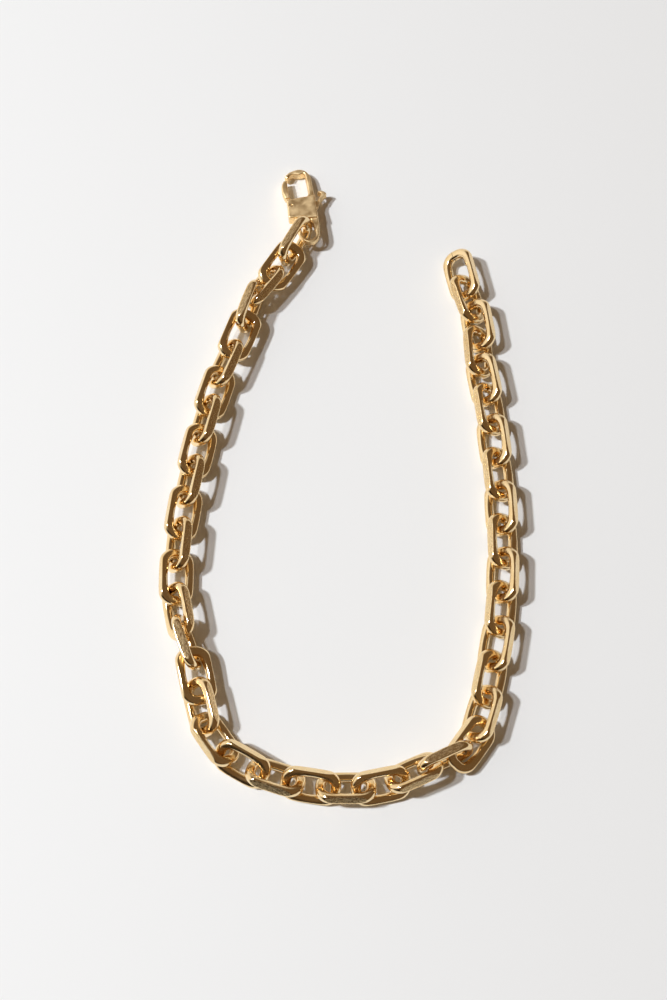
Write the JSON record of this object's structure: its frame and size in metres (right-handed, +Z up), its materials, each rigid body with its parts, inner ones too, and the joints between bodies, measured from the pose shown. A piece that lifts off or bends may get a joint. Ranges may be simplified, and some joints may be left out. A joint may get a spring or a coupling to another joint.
{
  "type": "chain necklace",
  "caption": "Short curb-like chain necklace of planed rounded-oblong links with a lobster clasp at one end and an open end link, laid flat in a narrow loop.",
  "frame": {"origin": "middle of the laid-out necklace, on the surface it lies on", "axes": "+Y from the bottom of the loop towards the clasp, +X to the right when looked at from above with the clasp at the top, +Z up from the surface"},
  "size_m": [0.0884, 0.17, 0.0091],
  "materials": {
    "gold_tone": "satin-planed facets with a fine grain, polished rounds and bevels, pale yellow-gold plate",
    "spring_wire": "drawn wire"
  },
  "bodies": {
    "clasp": {"clasp_body": "gold_tone", "clasp_pivot_pin": "gold_tone", "clasp_spring": "spring_wire"},
    "lever": {"clasp_lever": "gold_tone"},
    "link_01": {"link_01": "gold_tone"},
    "link_02": {"link_02": "gold_tone"},
    "link_03": {"link_03": "gold_tone"},
    "link_04": {"link_04": "gold_tone"},
    "link_05": {"link_05": "gold_tone"},
    "link_06": {"link_06": "gold_tone"},
    "link_07": {"link_07": "gold_tone"},
    "link_08": {"link_08": "gold_tone"},
    "link_09": {"link_09": "gold_tone"},
    "link_10": {"link_10": "gold_tone"},
    "link_11": {"link_11": "gold_tone"},
    "link_12": {"link_12": "gold_tone"},
    "link_13": {"link_13": "gold_tone"},
    "link_14": {"link_14": "gold_tone"},
    "link_15": {"link_15": "gold_tone"},
    "link_16": {"link_16": "gold_tone"},
    "link_17": {"link_17": "gold_tone"},
    "link_18": {"link_18": "gold_tone"},
    "link_19": {"link_19": "gold_tone"},
    "link_20": {"link_20": "gold_tone"},
    "link_21": {"link_21": "gold_tone"},
    "link_22": {"link_22": "gold_tone"},
    "link_23": {"link_23": "gold_tone"},
    "link_24": {"link_24": "gold_tone"},
    "link_25": {"link_25": "gold_tone"},
    "link_26": {"link_26": "gold_tone"},
    "link_27": {"link_27": "gold_tone"},
    "link_28": {"link_28": "gold_tone"},
    "link_29": {"link_29": "gold_tone"},
    "link_30": {"link_30": "gold_tone"},
    "link_31": {"link_31": "gold_tone"},
    "link_32": {"link_32": "gold_tone"},
    "link_33": {"link_33": "gold_tone"},
    "link_34": {"link_34": "gold_tone"},
    "link_35": {"link_35": "gold_tone"},
    "link_36": {"link_36": "gold_tone"},
    "link_37": {"link_37": "gold_tone"},
    "link_38": {"link_38": "gold_tone"},
    "link_39": {"link_39": "gold_tone"},
    "link_40": {"link_40": "gold_tone"},
    "end_link": {"end_link": "gold_tone"}
  },
  "joints": [
    {"name": "lever_pivot", "type": "hinge", "parent": "clasp", "child": "lever", "pos_m": [-0.01282, 0.0725, 0.00283], "axis": [-0.0196, 0.1238, 0.9921], "range_deg": [-22, 0], "stiffness_Nm_per_rad": 0.03, "springref_deg": 17.19, "deforming": ["clasp_spring"]},
    {"name": "link_01_on_clasp_eye", "type": "hinge", "parent": "clasp", "child": "link_01", "pos_m": [-0.01033, 0.06446, 0.00389], "axis": [0.3016, -0.9454, 0.1239], "range_deg": [-15, 45]},
    {"name": "link_02_on_link_01", "type": "hinge", "parent": "link_01", "child": "link_02", "pos_m": [-0.01447, 0.05679, 0.00475], "axis": [-0.1062, 0.0597, -0.9925], "range_deg": [-12, 45]},
    {"name": "link_03_on_link_02", "type": "hinge", "parent": "link_02", "child": "link_03", "pos_m": [-0.01637, 0.05392, 0.00387], "axis": [-0.3192, 0.2541, -0.913], "range_deg": [-42, 45]},
    {"name": "link_04_on_link_03", "type": "hinge", "parent": "link_03", "child": "link_04", "pos_m": [-0.02122, 0.0485, 0.00474], "axis": [0.4799, -0.3631, -0.7986], "range_deg": [-45, 22]},
    {"name": "link_05_on_link_04", "type": "hinge", "parent": "link_04", "child": "link_05", "pos_m": [-0.02362, 0.04053, 0.0043], "axis": [0.943, -0.3253, 0.0698], "range_deg": [-42, 45]},
    {"name": "link_06_on_link_05", "type": "hinge", "parent": "link_05", "child": "link_06", "pos_m": [-0.0279, 0.02943, 0.00409], "axis": [-0.9069, 0.3449, 0.2419], "range_deg": [-7, 30]},
    {"name": "link_07_on_link_06", "type": "hinge", "parent": "link_06", "child": "link_07", "pos_m": [-0.03139, 0.02142, 0.00399], "axis": [-0.5999, 0.231, -0.766], "range_deg": [-45, 10]},
    {"name": "link_08_on_link_07", "type": "hinge", "parent": "link_07", "child": "link_08", "pos_m": [-0.03355, 0.01353, 0.00331], "axis": [0.8445, -0.2578, -0.4695], "range_deg": [-45, 22]},
    {"name": "link_09_on_link_08", "type": "hinge", "parent": "link_08", "child": "link_09", "pos_m": [-0.03455, 0.00905, 0.00331], "axis": [0.864, -0.1819, -0.4695], "range_deg": [-45, 20]},
    {"name": "link_10_on_link_09", "type": "hinge", "parent": "link_09", "child": "link_10", "pos_m": [-0.037, -0.0026, 0.00331], "axis": [-0.864, 0.1819, 0.4695], "range_deg": [-22, 45]},
    {"name": "link_11_on_link_10", "type": "hinge", "parent": "link_10", "child": "link_11", "pos_m": [-0.03846, -0.01089, 0.00407], "axis": [-0.6059, 0.1095, -0.788], "range_deg": [-45, 10]},
    {"name": "link_12_on_link_11", "type": "hinge", "parent": "link_11", "child": "link_12", "pos_m": [-0.03958, -0.01922, 0.00341], "axis": [0.8745, -0.1219, -0.4695], "range_deg": [-45, 27]},
    {"name": "link_13_on_link_12", "type": "hinge", "parent": "link_12", "child": "link_13", "pos_m": [-0.04001, -0.02397, 0.00341], "axis": [0.8829, 0.0074, -0.4695], "range_deg": [-45, 35]},
    {"name": "link_14_on_link_13", "type": "hinge", "parent": "link_13", "child": "link_14", "pos_m": [-0.04037, -0.0327, 0.00372], "axis": [-0.6156, -0.0051, -0.788], "range_deg": [-45, 20]},
    {"name": "link_15_on_link_14", "type": "hinge", "parent": "link_14", "child": "link_15", "pos_m": [-0.03795, -0.04435, 0.00393], "axis": [-0.9734, -0.2039, -0.1045], "range_deg": [-20, 35]},
    {"name": "link_16_on_link_15", "type": "hinge", "parent": "link_15", "child": "link_16", "pos_m": [-0.03568, -0.04863, 0.00425], "axis": [0.9368, 0.339, 0.0872], "range_deg": [-45, 7]},
    {"name": "link_17_on_link_16", "type": "hinge", "parent": "link_16", "child": "link_17", "pos_m": [-0.0345, -0.05618, 0.00364], "axis": [0.4226, 0.0478, 0.9051], "range_deg": [-45, 20]},
    {"name": "link_18_on_link_17", "type": "hinge", "parent": "link_17", "child": "link_18", "pos_m": [-0.03141, -0.06767, 0.00364], "axis": [-0.7175, -0.1934, -0.6691], "range_deg": [-45, 10]},
    {"name": "link_19_on_link_18", "type": "hinge", "parent": "link_18", "child": "link_19", "pos_m": [-0.02599, -0.07436, 0.00339], "axis": [-0.6491, -0.4653, 0.6018], "range_deg": [-15, 45]},
    {"name": "link_20_on_link_19", "type": "hinge", "parent": "link_19", "child": "link_20", "pos_m": [-0.01778, -0.07826, 0.00344], "axis": [0.3886, 0.6855, 0.6157], "range_deg": [-45, 45]},
    {"name": "link_21_on_link_20", "type": "hinge", "parent": "link_20", "child": "link_21", "pos_m": [-0.00939, -0.08027, 0.00344], "axis": [0.2389, 0.7509, -0.6157], "range_deg": [-45, 45]},
    {"name": "link_22_on_link_21", "type": "hinge", "parent": "link_21", "child": "link_22", "pos_m": [-0.00098, -0.08133, 0.00344], "axis": [-0.1198, -0.7788, -0.6157], "range_deg": [-22, 45]},
    {"name": "link_23_on_link_22", "type": "hinge", "parent": "link_22", "child": "link_23", "pos_m": [0.00736, -0.08094, 0.00344], "axis": [0.0055, -0.788, 0.6157], "range_deg": [-27, 22]},
    {"name": "link_24_on_link_23", "type": "hinge", "parent": "link_23", "child": "link_24", "pos_m": [0.01548, -0.07927, 0.00344], "axis": [-0.1527, 0.7731, 0.6157], "range_deg": [-45, 22]},
    {"name": "link_25_on_link_24", "type": "hinge", "parent": "link_24", "child": "link_25", "pos_m": [0.0228, -0.07515, 0.00441], "axis": [-0.3961, 0.9167, -0.0523], "range_deg": [-45, 10]},
    {"name": "link_26_on_link_25", "type": "hinge", "parent": "link_25", "child": "link_26", "pos_m": [0.02728, -0.07548, 0.00365], "axis": [0.4182, -0.9077, 0.0349], "range_deg": [-45, 27]},
    {"name": "link_27_on_link_26", "type": "hinge", "parent": "link_26", "child": "link_27", "pos_m": [0.03441, -0.06597, 0.00324], "axis": [0.6825, -0.5334, -0.4997], "range_deg": [-15, 45]},
    {"name": "link_28_on_link_27", "type": "hinge", "parent": "link_27", "child": "link_28", "pos_m": [0.03559, -0.05787, 0.00354], "axis": [-0.7281, 0.2382, -0.6428], "range_deg": [-45, 45]},
    {"name": "link_29_on_link_28", "type": "hinge", "parent": "link_28", "child": "link_29", "pos_m": [0.03721, -0.04937, 0.00344], "axis": [-0.7664, 0.1831, 0.6157], "range_deg": [-45, 45]},
    {"name": "link_30_on_link_29", "type": "hinge", "parent": "link_29", "child": "link_30", "pos_m": [0.03888, -0.04072, 0.00344], "axis": [0.7733, -0.1518, 0.6157], "range_deg": [-45, 45]},
    {"name": "link_31_on_link_30", "type": "hinge", "parent": "link_30", "child": "link_31", "pos_m": [0.03989, -0.03202, 0.00344], "axis": [0.7819, -0.0982, -0.6157], "range_deg": [-45, 45]},
    {"name": "link_32_on_link_31", "type": "hinge", "parent": "link_31", "child": "link_32", "pos_m": [0.04026, -0.02336, 0.00344], "axis": [-0.7867, 0.0461, -0.6157], "range_deg": [-45, 45]},
    {"name": "link_33_on_link_32", "type": "hinge", "parent": "link_32", "child": "link_33", "pos_m": [0.04026, -0.01469, 0.00344], "axis": [-0.788, 0.0086, 0.6157], "range_deg": [-45, 45]},
    {"name": "link_34_on_link_33", "type": "hinge", "parent": "link_33", "child": "link_34", "pos_m": [0.04001, -0.00597, 0.00344], "axis": [0.7878, 0.0183, 0.6157], "range_deg": [-45, 45]},
    {"name": "link_35_on_link_34", "type": "hinge", "parent": "link_34", "child": "link_35", "pos_m": [0.03935, 0.00288, 0.00344], "axis": [0.7863, 0.0523, -0.6157], "range_deg": [-45, 45]},
    {"name": "link_36_on_link_35", "type": "hinge", "parent": "link_35", "child": "link_36", "pos_m": [0.03846, 0.0118, 0.00344], "axis": [-0.7846, -0.0731, -0.6157], "range_deg": [-45, 45]},
    {"name": "link_37_on_link_36", "type": "hinge", "parent": "link_36", "child": "link_37", "pos_m": [0.03747, 0.02049, 0.00344], "axis": [-0.7829, -0.0895, 0.6157], "range_deg": [-45, 45]},
    {"name": "link_38_on_link_37", "type": "hinge", "parent": "link_37", "child": "link_38", "pos_m": [0.03601, 0.02863, 0.00344], "axis": [0.7779, 0.1256, 0.6157], "range_deg": [-45, 35]},
    {"name": "link_39_on_link_38", "type": "hinge", "parent": "link_38", "child": "link_39", "pos_m": [0.03676, 0.03208, 0.00344], "axis": [0.7422, 0.0378, 0.6691], "range_deg": [-45, 40]},
    {"name": "link_40_on_link_39", "type": "hinge", "parent": "link_39", "child": "link_40", "pos_m": [0.03513, 0.04387, 0.00344], "axis": [-0.7805, -0.1084, -0.6157], "range_deg": [-30, 45]},
    {"name": "end_link_on_link_40", "type": "hinge", "parent": "link_40", "child": "end_link", "pos_m": [0.032, 0.0513, 0.00344], "axis": [-0.7574, -0.2175, 0.6157], "range_deg": [-45, 45]}
  ]
}
